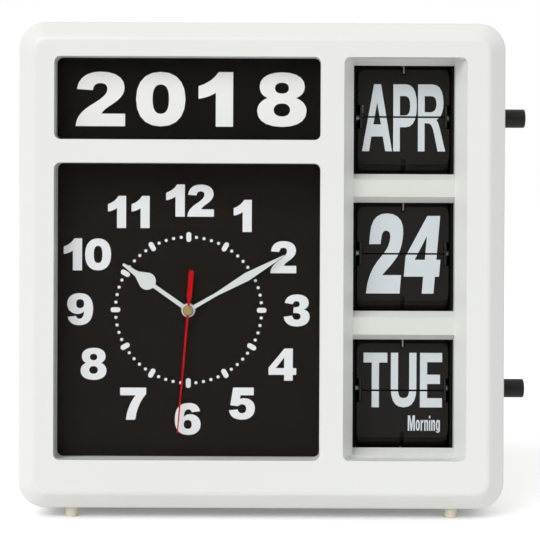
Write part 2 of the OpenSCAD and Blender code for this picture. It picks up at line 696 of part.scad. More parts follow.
// Lever that the cam of reel i + 1 swings out by its foot, so that its nose pushes the ratchet of reel i
module carry_lever(i, n, plane) {
    up = (reel_z[i] - reel_z[i + 1]) / 2;
    nose_r = ratchet_root + 0.4;
    nose_a = 90 - 180 / n - 1.5;
    nose = [nose_r * cos(nose_a), nose_r * sin(nose_a)];
    foot = cam_valley + 0.5;
    rim = cam_r + 1.2;
    color("#D9D6CC") in_case() translate([cal_x, reel_y, (reel_z[i] + reel_z[i + 1]) / 2]) difference() {
        union() {
            rod_x(5, plane, plane + wheel_t);
            across(plane, plane + wheel_t)
                polygon([[-4, 0], [9, 22 - up], [rim, 12 - up], [rim, 1.6 - up], [foot, 1 - up],
                    [foot, -1 - up], [rim, -1.6 - up], [rim + 4.3, -3 - up], [rim + 4.8, 12 - up],
                    [14, 24 - up], [4, 2]]);
            across(plane, plane + wheel_t)
                polygon([[-4, 0], [0, up - 26], [ratchet_r + 2.2, up - 9], [ratchet_r + 2.2, up + 6],
                    [6, up + nose_r + 2.3], nose + [1.4, up + 1.1], nose + [0, up], nose + [0.2, up + 1.9],
                    nose + [0.5, up + 4], [9, up + nose_r + 5.8], [ratchet_r + 6.4, up + 7],
                    [ratchet_r + 6.4, up - 11], [5, up - 28], [4, 0]]);
        }
        rod_x(stud_r + run, plane - 1, plane + wheel_t + 1);
    }
}

module date_carry_lever() carry_lever(1, date_n, plane_a);
module month_carry_lever() carry_lever(0, month_n, plane_b);

module battery_box() color("#1B1C1E") in_case() difference() {
    translate([box_x - box_w / 2 - box_wall, box_y - box_wall, door_z - box_h / 2 - box_wall])
        cube([box_w + 2 * box_wall, shell_d - box_y + box_wall, box_h + 2 * box_wall]);
    translate([box_x - box_w / 2, box_y, door_z - box_h / 2]) cube([box_w, 100, box_h]);
}

module battery_contacts() color("#B9BCC0") in_case() translate([box_x, box_y + 1 + cell_r, door_z]) {
    translate([-box_w / 2, -8, -8]) cube([0.5, 16, 16]);
    translate([box_w / 2 - 0.5, -8, -8]) cube([0.5, 16, 16]);
    rod_x(5, cell_l / 2 + 0.2, box_w / 2 - 0.4);
}

module battery() color("#3C5A8C") in_case() translate([box_x, box_y + 1 + cell_r, door_z]) {
    rod_x(cell_r - 0.3, -cell_l / 2 + 1.5, cell_l / 2);
    rod_x(4.8, -cell_l / 2, -cell_l / 2 + 2);
}

module battery_door() color("#E4E5E1") in_case() difference() {
    union() {
        translate([-case_w / 2, case_d - 2.2, door_z - door_h / 2]) cube([door_w, 2.2, door_h]);
        translate([-case_w / 2, case_d - 2.2, door_z - door_h / 2 - door_tongue + fit])
            cube([door_w, 1, door_h + 2 * door_tongue - 2 * fit]);
    }
    for (x = [0:3:12]) translate([-case_w / 2 + 12 + x, case_d - 0.5, door_z - 9]) cube([1.2, 1, 18]);
}

front_case();
rear_cover();
rear_cover_screws();
feet();
hanger_plate();
front_lens();
inner_frame();
frame_screws();
year_card();
dial_plate();
movement_case();
movement_bushing();
hour_pipe();
minute_arbor();
second_arbor();
hour_hand();
minute_hand();
second_hand();
second_hand_cap();
time_set_knob();
chassis_left_plate();
chassis_right_plate();
chassis_bridges();
chassis_tie_rods();
chassis_screws();
catch_fingers();
month_axle();
month_reel();
month_leaves();
month_top_leaf();
month_next_leaf();
month_bottom_leaf();
date_axle();
date_reel();
date_leaves();
date_top_leaf();
date_next_leaf();
date_bottom_leaf();
weekday_axle();
weekday_reel();
weekday_leaves();
weekday_top_leaf();
weekday_next_leaf();
weekday_bottom_leaf();
month_knob();
weekday_knob();
weekday_gear();
calendar_motor();
motor_pinion();
weekday_cam();
date_ratchet();
date_cam();
month_ratchet();
date_carry_lever();
month_carry_lever();
battery_box();
battery_contacts();
battery();
battery_door();
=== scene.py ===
import json
import math

import bpy
from mathutils import Euler, Matrix, Vector


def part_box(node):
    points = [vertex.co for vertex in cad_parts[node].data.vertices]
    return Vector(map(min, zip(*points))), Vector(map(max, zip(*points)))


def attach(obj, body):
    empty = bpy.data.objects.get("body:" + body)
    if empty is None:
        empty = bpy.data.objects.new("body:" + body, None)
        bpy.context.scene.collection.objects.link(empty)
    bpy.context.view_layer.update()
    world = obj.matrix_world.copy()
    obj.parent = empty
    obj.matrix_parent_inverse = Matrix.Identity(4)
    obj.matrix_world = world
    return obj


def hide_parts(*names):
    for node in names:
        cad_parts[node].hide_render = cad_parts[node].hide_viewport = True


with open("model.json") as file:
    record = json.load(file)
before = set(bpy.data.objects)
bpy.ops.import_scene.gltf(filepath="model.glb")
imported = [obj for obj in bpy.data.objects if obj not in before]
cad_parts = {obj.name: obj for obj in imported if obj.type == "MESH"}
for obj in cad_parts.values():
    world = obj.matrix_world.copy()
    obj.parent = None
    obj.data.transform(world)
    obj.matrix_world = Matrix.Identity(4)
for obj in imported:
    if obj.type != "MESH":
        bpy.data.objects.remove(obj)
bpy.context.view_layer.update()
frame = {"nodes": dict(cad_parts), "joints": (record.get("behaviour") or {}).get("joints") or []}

MM = 0.001
nodes = frame["nodes"]
pin_of = {j["child"]: Vector(j["pos_m"]) for j in frame["joints"] if "pos_m" in j}
hub = pin_of["minute_hand"]
bpy.ops.object.select_all(action="DESELECT")

# Camera and light. The view is fitted to the outline of the case, its windows and the dial's figures.
LENS_MM, SENSOR_MM = 111.15, 36
FRAMING = (-0.063, -0.1141)
STANDPOINT = (0.0175, -1.130, 0.2113)
LOOK_DEG = (90 - 0.361, -0.238, -0.089)
camera_data = bpy.data.cameras.new("camera")
camera_data.lens = LENS_MM
camera_data.sensor_width = SENSOR_MM
camera_data.shift_x, camera_data.shift_y = FRAMING
camera = bpy.data.objects.new("camera", camera_data)
camera.location = STANDPOINT
camera.rotation_euler = Euler([math.radians(a) for a in LOOK_DEG])
bpy.context.scene.collection.objects.link(camera)
bpy.context.scene.camera = camera
bpy.context.scene.view_settings.view_transform = "Standard"

# A broad soft key from the upper left of the front. Its strength over pi is the share
# of a surface's colour that it gives where it falls straight on.
KEY_TOWARDS = Vector((0.42, 0.70, -0.58))
KEY_SHARE, KEY_SPREAD_DEG = 0.48, 38
key_data = bpy.data.lights.new("key", "SUN")
key_data.energy = KEY_SHARE * math.pi
key_data.angle = math.radians(KEY_SPREAD_DEG)
key = bpy.data.objects.new("key", key_data)
key.rotation_euler = KEY_TOWARDS.to_track_quat("-Z", "Y").to_euler()
bpy.context.scene.collection.objects.link(key)


def linear(code):
    """Turns an sRGB hex colour into the linear colour that the shaders take."""
    parts = [int(code[i:i + 2], 16) / 255 for i in (1, 3, 5)]
    return [c / 12.92 if c <= 0.04045 else ((c + 0.055) / 1.055) ** 2.4 for c in parts] + [1]


def add(tree, kind, sockets=(), **settings):
    """Adds a node, sets its settings, and gives each named or numbered input a value or a link."""
    made = tree.nodes.new("ShaderNode" + kind)
    for name, value in settings.items():
        setattr(made, name, value)
    for name, value in dict(sockets).items():
        if isinstance(value, bpy.types.NodeSocket):
            tree.links.new(value, made.inputs[name])
        else:
            made.inputs[name].default_value = value
    return made


def blank(name):
    """Starts a material with nothing in it but its output."""
    made = bpy.data.materials.new(name)
    made.use_nodes = True
    made.node_tree.nodes.clear()
    return made, made.node_tree, add(made.node_tree, "OutputMaterial")


# The room: white where the camera, a gloss or a clear piece looks at it, but dim in front
# of the clock, where the photographer's side of the room is dark.
# A gloss finds it dark up to a little over the horizon, and light overhead and behind the clock.
ROOM_SHARE = 0.60
world = bpy.data.worlds.new("room")
bpy.context.scene.world = world
world.use_nodes = True
sky = world.node_tree
sky.nodes.clear()
way = add(sky, "TexCoord")
parts = add(sky, "SeparateXYZ", {0: way.outputs["Generated"]})
overhead = add(sky, "MapRange", {"Value": parts.outputs["Z"], "From Min": 0.12, "From Max": 0.6,
                                 "To Min": 0.03, "To Max": 0.9})
behind = add(sky, "MapRange", {"Value": parts.outputs["Y"], "From Min": -0.2, "From Max": 0.2})
gloss = add(sky, "Mix", {0: behind.outputs[0], 2: overhead.outputs[0], 3: 1.0}, data_type="FLOAT")
rays = add(sky, "LightPath")
clear_ray = add(sky, "Math", {0: rays.outputs["Is Camera Ray"], 1: rays.outputs["Is Transmission Ray"]},
                operation="MAXIMUM")
seen = add(sky, "Mix", {0: rays.outputs["Is Glossy Ray"], 2: ROOM_SHARE, 3: gloss.outputs[0]},
           data_type="FLOAT")
level = add(sky, "Mix", {0: clear_ray.outputs[0], 2: seen.outputs[0], 3: 1.0}, data_type="FLOAT")
glow = add(sky, "Background", {"Color": linear("#FFFFFF"), "Strength": level.outputs[0]})
add(sky, "OutputWorld", {0: glow.outputs[0]})


# Materials
def surface(name, colour, rough, grain_mm, relief_mm, tone=0.03, patch_mm=40, spread=0.06, edge_mm=0.0,
            **sockets):
    """A solid finish with its own fine grain: relief in the bump, slow drifts of tone and gloss, and
    edges that are rounded off to a radius."""
    made, tree, out = blank(name)
    place = add(tree, "TexCoord").outputs["Object"]
    fine = add(tree, "TexNoise", {"Vector": place, "Scale": 1 / (grain_mm * MM), "Detail": 3.0})
    slow = add(tree, "TexNoise", {"Vector": place, "Scale": 1 / (patch_mm * MM), "Detail": 2.0})
    base = linear(colour)
    dark = [c * (1 - tone) for c in base[:3]] + [1]
    light = [min(1, c * (1 + tone)) for c in base[:3]] + [1]
    tint = add(tree, "Mix", {0: slow.outputs[0], 6: dark, 7: light}, data_type="RGBA")
    gloss = add(tree, "MapRange", {"Value": fine.outputs[0], "From Min": 0.3, "From Max": 0.7,
                                   "To Min": rough - spread, "To Max": rough + spread})
    relief = add(tree, "Bump", {"Height": fine.outputs[0], "Distance": relief_mm * MM, "Strength": 1.0})
    if edge_mm:
        rounded = add(tree, "Bevel", {"Radius": edge_mm * MM}, samples=6)
        tree.links.new(rounded.outputs[0], relief.inputs["Normal"])
    shader = add(tree, "BsdfPrincipled", {"Base Color": tint.outputs[2], "Roughness": gloss.outputs[0],
                                          "Normal": relief.outputs[0], **sockets})
    tree.links.new(shader.outputs[0], out.inputs[0])
    return made


# The calendar bars' faces lie behind this depth, the case's outer face before it.
BARS_Y_MM = -30


def painted_bar_shade(material):
    """Painted shade: the calendar bars' front faces, deep in the recess, are multiplied by a greyer and
    greener white, so they read darker than the face.
    """
    tree = material.node_tree
    shader = tree.nodes["Principled BSDF"]
    unshaded_colour = shader.inputs["Base Color"].links[0].from_socket
    depth = add(tree, "SeparateXYZ", {0: add(tree, "TexCoord").outputs["Object"]}).outputs["Y"]
    facing = add(tree, "SeparateXYZ", {0: add(tree, "NewGeometry").outputs["True Normal"]}).outputs["Y"]
    deep = add(tree, "MapRange", {"Value": depth, "From Min": (BARS_Y_MM - 1) * MM,
                                  "From Max": BARS_Y_MM * MM})
    bars = add(tree, "MapRange", {"Value": facing, "From Min": -0.6, "From Max": -0.9,
                                  "To Max": deep.outputs[0]})
    # Painted shade: the bar faces' colour is multiplied by this greyer, greener white.
    bar_shade = add(tree, "Mix", {0: bars.outputs[0], 6: unshaded_colour, 7: linear("#EDF1ED")}, data_type="RGBA",
                 blend_type="MULTIPLY")
    tree.links.new(bar_shade.outputs[2], shader.inputs["Base Color"])
    return material


# How much of the plain gloss a matt print or a dull moulding keeps.
MATT = {"Specular IOR Level": 0.1}
DULL = {"Specular IOR Level": 0.25}

# Injection-moulded ABS, satin: warm white, broad soft highlights, a hardly visible orange peel.
# The calendar bars in this ABS are darkened and tinted by painted shade.
case_abs = painted_bar_shade(surface("abs_warm_white_satin", "#E7E8E4", 0.36, 1.2, 0.004, 0.012, 60, 0.04, 0.45,
                               IOR=1.53))
# The same ABS from a spark-eroded mould: an even fine grain that takes the gloss off the back.
cover_abs = surface("abs_white_fine_textured", "#DFE0DC", 0.62, 0.9, 0.03, 0.02, 50, 0.08, 0.4, IOR=1.53)
# Soft vinyl pegs: creamier than the case and dull.
foot_vinyl = surface("vinyl_cream_moulded", "#DED7C8", 0.55, 0.8, 0.01, 0.03, 9, 0.08, 0.4, IOR=1.5)
# Offset-printed black on card: warm black, silky, with the card's faint tooth.
card_black = surface("card_printed_black", "#120F0D", 0.42, 0.6, 0.006, 0.12, 30, 0.08, IOR=1.45, **MATT)
# Screen-printed black on rolled aluminium sheet for the dial: a warm brown black.
dial_black = surface("aluminium_sheet_black_print", "#18130F", 0.4, 0.7, 0.004, 0.12, 45, 0.07, IOR=1.45,
                     **MATT)
# Calendered PVC sheet, matt: the flap leaves, a touch lighter than the card.
leaf_pvc = surface("pvc_sheet_black_matt", "#181512", 0.5, 0.5, 0.004, 0.15, 25, 0.08, IOR=1.4, **DULL)
# White screen ink: flat, slightly cool, with thin places in the cover.
ink_dial = surface("screen_ink_cool_white", "#EFF2F4", 0.5, 0.5, 0.004, 0.02, 20, 0.06, IOR=1.5)
ink_flap = surface("screen_ink_grey_white", "#CDD4D8", 0.5, 0.5, 0.004, 0.03, 22, 0.06, IOR=1.5)
ink_year = surface("screen_ink_warm_white", "#F8F8F4", 0.5, 0.5, 0.004, 0.015, 30, 0.06, IOR=1.5)
# Stove enamel on the stamped aluminium hands.
hand_white = surface("enamel_white_stoved", "#DEE4E2", 0.32, 0.7, 0.003, 0.015, 14, 0.05, IOR=1.5)
hand_red = surface("enamel_red_stoved", "#C20205", 0.36, 0.7, 0.003, 0.04, 14, 0.05, IOR=1.5, **MATT)
# Black ABS knobs: a fine dull skin.
knob_abs = surface("abs_black_fine_dull", "#141110", 0.45, 0.9, 0.006, 0.1, 8, 0.05, 0.3, IOR=1.53, **DULL)
# Black styrene for the reels, chassis and movement: dull, lightly mottled.
styrene_black = surface("styrene_black_moulded", "#100E0D", 0.5, 0.8, 0.008, 0.12, 12, 0.08, 0.2, IOR=1.58,
                        **DULL)
# The chassis is the same styrene, matt from a blasted mould, but in a darker black that is painted shade,
# so that it swallows the light behind the leaves.
styrene_painted_shade = surface("styrene_black_blasted_painted_shade", "#060505", 0.7, 0.8, 0.008, 0.12, 12, 0.08, IOR=1.58,
                       **MATT)
# Acetal gears and levers: creamy, waxy sheen.
acetal = surface("acetal_natural_moulded", "#E4E0D2", 0.34, 0.7, 0.004, 0.02, 10, 0.06, 0.15, IOR=1.48)
# Zinc-plated steel: pale grey metal with a slight bloom.
steel_zinc = surface("steel_zinc_plated", "#C3C5C6", 0.34, 0.6, 0.006, 0.05, 6, 0.08, 0.15, Metallic=1.0)
# Tempered spring steel of the catch fingers: darker, straw grey.
steel_spring = surface("steel_spring_tempered", "#87857C", 0.5, 0.5, 0.004, 0.05, 6, 0.08, Metallic=1.0)
# Printed foil sleeve of the cell.
cell_foil = surface("foil_sleeve_printed", "#2C3034", 0.28, 1.0, 0.004, 0.05, 20, 0.05, IOR=1.5)


def spun_brass():
    """Turned brass: fine concentric tool marks round the hub that pull the highlight into wedges."""
    made, tree, out = blank("brass_spun")
    place = add(tree, "TexCoord").outputs["Object"]
    centred = add(tree, "Mapping", {"Vector": place, "Location": -hub})
    # The real marks are 0.1 mm apart; they are drawn 0.45 mm apart so that they show.
    rings = add(tree, "TexWave", {"Vector": centred.outputs[0], "Scale": 1 / (0.45 * MM) / (2 * math.pi),
                                  "Distortion": 0.0}, wave_type="RINGS", rings_direction="Y")
    relief = add(tree, "Bump", {"Height": rings.outputs[1], "Distance": 0.05 * MM, "Strength": 1.0})
    tint = add(tree, "Mix", {0: rings.outputs[1], 6: linear("#A1844A"), 7: linear("#CDB27A")},
               data_type="RGBA")
    around = add(tree, "Tangent", direction_type="RADIAL", axis="Y")
    shader = add(tree, "BsdfPrincipled", {"Base Color": tint.outputs[2], "Metallic": 1.0, "Roughness": 0.24,
                                          "Anisotropic": 0.9, "Tangent": around.outputs[0],
                                          "Normal": relief.outputs[0]})
    tree.links.new(shader.outputs[0], out.inputs[0])
    return made


def clear_acrylic():
    """Cast acrylic sheet: all but clear, with a faint haze of wiping marks that catches the light."""
    made, tree, out = blank("acrylic_clear_sheet")
    place = add(tree, "TexCoord").outputs["Object"]
    along = add(tree, "Mapping", {"Vector": place, "Rotation": (0, math.radians(38), 0),
                                  "Scale": (1.0, 1.0, 14.0)})
    marks = add(tree, "TexNoise", {"Vector": along.outputs[0], "Scale": 18.0, "Detail": 4.0})
    haze = add(tree, "MapRange", {"Value": marks.outputs[0], "From Min": 0.45, "From Max": 0.75,
                                  "To Min": 0.02, "To Max": 0.12})
    shader = add(tree, "BsdfPrincipled", {"Base Color": linear("#0A0B0C"), "Roughness": haze.outputs[0],
                                          "IOR": 1.49, "Alpha": 0.03})
    tree.links.new(shader.outputs[0], out.inputs[0])
    return made


finish_of = {
    case_abs: ["front_case", "inner_frame"],
    cover_abs: ["rear_cover", "battery_door"],
    foot_vinyl: ["feet"],
    card_black: ["year_card"],
    dial_black: ["dial_plate"],
    leaf_pvc: [n for n in nodes if n.endswith(("leaves", "leaf"))],
    hand_white: ["hour_hand", "minute_hand"],
    hand_red: ["second_hand"],
    knob_abs: ["month_knob", "weekday_knob", "time_set_knob"],
    styrene_black: ["movement_case", "calendar_motor", "battery_box", "month_reel", "date_reel",
                    "weekday_reel"],
    styrene_painted_shade: ["chassis_left_plate", "chassis_right_plate"],
    acetal: ["weekday_gear", "motor_pinion", "weekday_cam", "date_ratchet", "date_cam", "month_ratchet",
             "date_carry_lever", "month_carry_lever", "hour_pipe"],
    steel_zinc: ["rear_cover_screws", "hanger_plate", "frame_screws", "chassis_bridges",
                 "chassis_tie_rods", "chassis_screws", "month_axle", "date_axle", "weekday_axle",
                 "battery_contacts", "second_arbor"],
    steel_spring: ["catch_fingers"],
    spun_brass(): ["second_hand_cap", "minute_arbor", "movement_bushing"],
    clear_acrylic(): ["front_lens"],
    cell_foil: ["battery"],
}
for material, names in finish_of.items():
    for name in names:
        mesh = nodes[name].data
        mesh.materials.clear()
        mesh.materials.append(material)

# The floor: matt white paper. It glows a little by itself where it is looked at, as painted light: most of
# all away from the clock, so that it is white there and the cast shadow fades, and less under the case,
# where the shadow is kept.
FLOOR_M = 60
PAINTED_GLOW_UNDER, PAINTED_GLOW_AWAY = 0.17, 0.36
UNDER_CASE_M, FADE_M = (0.133, 0.03, 0), 0.03
floor_white, tree, out = blank("paper_white_sweep")
rays = add(tree, "LightPath")
looked_at = add(tree, "Math", {0: rays.outputs["Is Camera Ray"], 1: rays.outputs["Is Glossy Ray"]},
                operation="MAXIMUM")
looked_at = add(tree, "Math", {0: looked_at.outputs[0], 1: rays.outputs["Is Transmission Ray"]},
                operation="MAXIMUM")
low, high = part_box("front_case")
middle = add(tree, "Mapping", {"Vector": add(tree, "TexCoord").outputs["Object"],
                               "Location": (-(low.x + high.x) / 2, 0, 0)})
aside = add(tree, "VectorMath", {0: middle.outputs[0]}, operation="ABSOLUTE")
beyond = add(tree, "VectorMath", {0: aside.outputs[0], 1: UNDER_CASE_M}, operation="SUBTRACT")
beyond = add(tree, "VectorMath", {0: beyond.outputs[0], 1: (0, 0, 0)}, operation="MAXIMUM")
gap = add(tree, "VectorMath", {0: beyond.outputs[0]}, operation="LENGTH")
# Painted light: the glow grows from under the case outwards, fading the cast shadow away from the clock.
painted_glow = add(tree, "MapRange", {"Value": gap.outputs["Value"], "From Max": FADE_M, "To Min": PAINTED_GLOW_UNDER,
                               "To Max": PAINTED_GLOW_AWAY}, interpolation_type="SMOOTHSTEP")
lift = add(tree, "Math", {0: looked_at.outputs[0], 1: painted_glow.outputs[0]}, operation="MULTIPLY")
shader = add(tree, "BsdfPrincipled", {"Base Color": linear("#F7F7F6"), "Roughness": 0.9,
                                      "Specular IOR Level": 0.0, "Emission Color": linear("#FFFFFF"),
                                      "Emission Strength": lift.outputs[0]})
tree.links.new(shader.outputs[0], out.inputs[0])
bpy.ops.mesh.primitive_plane_add(size=FLOOR_M)
floor = bpy.context.object
floor.name = "floor"
floor.data.materials.append(floor_white)

# Printed figures and words

# Outlines in a field 100 high: M starts a loop, L is a straight step, C a curve by two handles, Z closes.
# The figures are a heavy grotesque. The letters and the narrow figures are the same kind of face, set
# narrow for the leaves.
GLYPHS = {
    "0": """M 40.5 100 C 66 100 81 82 81 50 C 81 18 66 0 40.5 0 C 15 0 0 18 0 50
            C 0 82 15 100 40.5 100 Z
            M 40.5 77 C 30 77 27 66 27 50 C 27 34 30 23 40.5 23 C 51 23 54 34 54 50
            C 54 66 51 77 40.5 77 Z""",
    "1": "M 57 0 L 28.5 0 L 28.5 62 C 20 56 11 52.5 0 51 L 0 74 C 14 79 26 87 33 100 L 57 100 Z",
    "2": """M 2 68 C 4 88 18 100 41 100 C 65 100 80 89 80 71 C 80 60 74 51 62 42 C 54 36 46 31 42 23
            L 81 23 L 81 0 L 0 0 C 1 17 9 27 24 38 C 42 50 52 58 52 68 C 52 75 48 79 41 79
            C 33 79 29 75 28 66 Z""",
    "3": """M 3 74 C 7 91 20 100 41 100 C 64 100 78 90 78 74 C 78 64 73 57 63 53 C 75 50 81 42 81 30
            C 81 12 66 0 41 0 C 18 0 2 11 0 30 L 27 34 C 28 25 33 21 40 21 C 48 21 53 25 53 32
            C 53 40 46 43 30 42 L 31 60 C 44 59 50 63 50 69 C 50 76 46 79 40 79 C 34 79 30 76 28 69 Z""",
    "4": """M 50 100 L 76 100 L 76 39 L 87 39 L 87 18 L 76 18 L 76 0 L 49 0 L 49 18 L 0 18 L 0 40 Z
            M 49 39 L 23 39 L 49 72 Z""",
    "5": """M 13 100 L 77 100 L 77 76 L 36 76 L 34 64 C 38 66 43 67 48 67 C 68 67 81 54 81 35
            C 81 13 65 0 40 0 C 17 0 3 10 0 29 L 27 32 C 29 24 34 20 40 20 C 49 20 54 25 54 34
            C 54 43 49 48 41 48 C 36 48 32 46 29 42 L 4 45 Z""",
    "6": """M 79 74 C 75 92 63 100 43 100 C 15 100 0 82 0 49 C 0 17 14 0 42 0 C 66 0 81 13 81 33
            C 81 52 67 65 49 65 C 40 65 33 62 28 56 C 29 72 34 80 42 80 C 48 80 52 77 53 71 Z
            M 41 47 C 33 47 28 42 28 33 C 28 24 33 19 41 19 C 49 19 53 24 53 33 C 53 42 49 47 41 47 Z""",
    "7": "M 0 100 L 81 100 L 81 80 C 64 62 52 36 47 0 L 18 0 C 21 28 31 55 48 76 L 0 76 Z",
    "8": """M 41 100 C 64 100 78 90 78 74 C 78 64 73 57 64 53 C 75 48 81 40 81 29 C 81 11 66 0 41 0
            C 15 0 0 11 0 29 C 0 40 6 48 17 53 C 8 57 4 64 4 74 C 4 90 18 100 41 100 Z
            M 41 81 C 33 81 29 77 29 71 C 29 65 33 61 41 61 C 48 61 52 65 52 71 C 52 77 48 81 41 81 Z
            M 41 43 C 32 43 27 38 27 31 C 27 24 32 19 41 19 C 49 19 54 24 54 31 C 54 38 49 43 41 43 Z""",
    "9": """M 2 26 C 6 8 18 0 38 0 C 66 0 81 18 81 51 C 81 83 67 100 39 100 C 15 100 0 87 0 67
            C 0 48 14 35 32 35 C 41 35 48 38 53 44 C 52 28 47 20 39 20 C 33 20 29 23 28 29 Z
            M 40 53 C 48 53 53 58 53 67 C 53 76 48 81 40 81 C 32 81 28 76 28 67 C 28 58 32 53 40 53 Z""",
    "2 narrow": """M 0 61.6 L 14.2 61.6 C 14.2 73 15 78.5 19.4 78.5 C 23.6 78.5 25.6 75 25.6 70
                   C 25.6 60 22 54 17 47 C 8.5 36 1.3 24 1.3 0 L 43.2 0 L 43.2 23 L 19.5 23
                   C 25 30 32 38 36 45.5 C 40 53 41.5 64 41.3 75 C 41 92 32 100 19 100
                   C 6 100 0 92 0 75 Z""",
    "4 narrow": """M 0 21.2 L 0 46.5 L 22.8 97.1 L 38.8 97.1 L 38.8 42.2 L 43.9 42.2 L 43.9 21.2
                   L 38.8 21.2 L 38.8 0 L 24.2 0 L 24.2 21.2 Z M 11.8 42.2 L 24.4 42.2 L 24.4 71.8 Z""",
    "5 narrow": """M 4 97.1 L 40 97.1 L 40 77 L 17 77 L 16.4 63.5 C 19 66.5 22.5 68 26.5 68
                   C 37 68 43 57 43 37 C 43 12 34.5 -1.5 20.5 -1.5 C 7.5 -1.5 0 9 0 29 L 14 31
                   C 14.2 21.5 16.5 17.5 21 17.5 C 26.5 17.5 28.7 23.5 28.7 36
                   C 28.7 46.5 26.5 51 22 51 C 18.6 51 16.6 48.6 15.6 43.5 L 2.6 45.5 Z""",
    "A": """M 0 0 L 18.5 100 L 29.5 100 L 47 0 L 36.5 0 L 32.5 22 L 14.5 22 L 11 0 Z
            M 17.5 40 L 29.5 40 L 23.5 73 Z""",
    "E": """M 0 0 L 0 100 L 32 100 L 32 83 L 10.4 83 L 10.4 60 L 29 60 L 29 43 L 10.4 43 L 10.4 17
            L 32 17 L 32 0 Z""",
    "M": """M 0 0 L 0 100 L 15 100 L 23 38 L 31 100 L 46 100 L 46 0 L 36 0 L 36 72 L 27.5 0 L 18.5 0
            L 10 72 L 10 0 Z""",
    "N": "M 0 0 L 0 100 L 11 100 L 26.5 42 L 26.5 100 L 37 100 L 37 0 L 26 0 L 10.5 58 L 10.5 0 Z",
    "P": """M 0 0 L 0 100 L 20 100 C 32 100 37 88 37 68 C 37 47 31 36 20 36 L 10.4 36 L 10.4 0 Z
            M 10.4 82.5 L 18 82.5 C 24 82.5 26.5 78 26.5 68 C 26.5 58 24 53.5 18 53.5 L 10.4 53.5 Z""",
    "R": """M 0 0 L 0 100 L 23 100 C 35 100 40 88 40 72 C 40 60 36.5 51 29 47 C 32 43 34 36 36.5 26
            L 43 0 L 31 0 L 25 28 C 22 39 20 42 15 42 L 10.4 42 L 10.4 0 Z
            M 10.4 82.5 L 20 82.5 C 26 82.5 29 79 29 71 C 29 63 26 58.5 19 58.5 L 10.4 58.5 Z""",
    "T": "M 12 0 L 12 82 L 0 82 L 0 100 L 34.5 100 L 34.5 82 L 22.5 82 L 22.5 0 Z",
    "U": """M 0 100 L 10.4 100 L 10.4 34 C 10.4 21 13 17 18.5 17 C 24 17 26.6 21 26.6 34 L 26.6 100
            L 37 100 L 37 35 C 37 12 31 0 18.5 0 C 6 0 0 12 0 35 Z""",
    "Y": "M 15.8 0 L 15.8 40 L 0 100 L 12 100 L 21 60 L 30 100 L 42 100 L 26.2 40 L 26.2 0 Z",
    "g": """M 17.5 70 L 26 70 L 26 5 C 26 -6.5 22 -12 12 -12 C 5 -12 1 -9 0.5 -3.5 L 9 -2
            C 9.5 -3.5 10.5 -4 13 -4 C 16 -4 17 -2 17 3 L 17 8 C 15.5 3 13.5 1 11 1 C 4 1 0 12 0 36
            C 0 60 4 72 11 72 C 14 72 16 69.5 17.5 64 Z
            M 13 58 C 10 58 9 52 9 37 C 9 21 10 14.5 13 14.5 C 16 14.5 17 21 17 37 C 17 52 16 58 13 58 Z""",
    "i": "M 0 0 L 0 70 L 9 70 L 9 0 Z M 0 82 L 0 98 L 9 98 L 9 82 Z",
    "n": """M 0 0 L 0 70 L 8.5 70 L 9 62 C 11 69 14 72 17 72 C 22.5 72 25 66 25 52 L 25 0 L 16 0 L 16 48
            C 16 55 15 58 13 58 C 10.5 58 9 54 9 46 L 9 0 Z""",
    "o": """M 13 72 C 22 72 26 60 26 36 C 26 12 22 0 13 0 C 4 0 0 12 0 36 C 0 60 4 72 13 72 Z
            M 13 59 C 10 59 9 52 9 36 C 9 20 10 13 13 13 C 16 13 17 20 17 36 C 17 52 16 59 13 59 Z""",
    "r": "M 0 0 L 0 70 L 8 70 L 8.5 60 C 10 68 13 72 18 72 L 18 55 C 12 55 9 50 9 40 L 9 0 Z",
}
# The sheets of ink are as thick as two coats of screen ink. SPLIT_MM is the bare edge of each leaf.
INK_MM, SPLIT_MM = 0.02, 0.6


def loops(outline):
    """Reads an outline into closed loops of [knot, handle before it, handle after it]."""
    found = []
    words = iter(outline.split())

    def point():
        return Vector((float(next(words)), float(next(words)), 0))

    for step in words:
        if step == "M":
            found.append([[point()] * 3])
        elif step == "L":
            found[-1].append([point()] * 3)
        elif step == "C":
            leaving, arriving, knot = point(), point(), point()
            found[-1][-1] = found[-1][-1][:2] + [leaving]
            found[-1].append([knot, arriving, knot])
        elif (found[-1][0][0] - found[-1][-1][0]).length < 0.01:
            last = found[-1].pop()
            found[-1][0] = [last[0], last[1], found[-1][0][2]]
    return found


def width_of(outline):
    return max(knot[0].x for loop in loops(outline) for knot in loop)


def fit_to(outline, left, bottom, width, height, slant=0.0):
    """The loops of one glyph, set into a box in mm. height is the height of a capital."""
    across, up = width / width_of(outline), height / 100
    lay = Matrix(((across, slant * up, 0, left), (0, up, 0, bottom), (0, 0, 1, 0), (0, 0, 0, 1)))
    return [[[lay @ p for p in knot] for knot in loop] for loop in loops(outline)]


def word(text, left, bottom, width, height, gap, slant=0.0):
    """The loops of a word, or a row of named glyphs, that fills a width, with the same gap between them."""
    widths = [width_of(GLYPHS[c]) for c in text]
    scale = (width - gap * (len(text) - 1)) / sum(widths)
    found = []
    for c, w in zip(text, widths):
        found += fit_to(GLYPHS[c], left, bottom, w * scale, height, slant)
        left += w * scale + gap
    return found


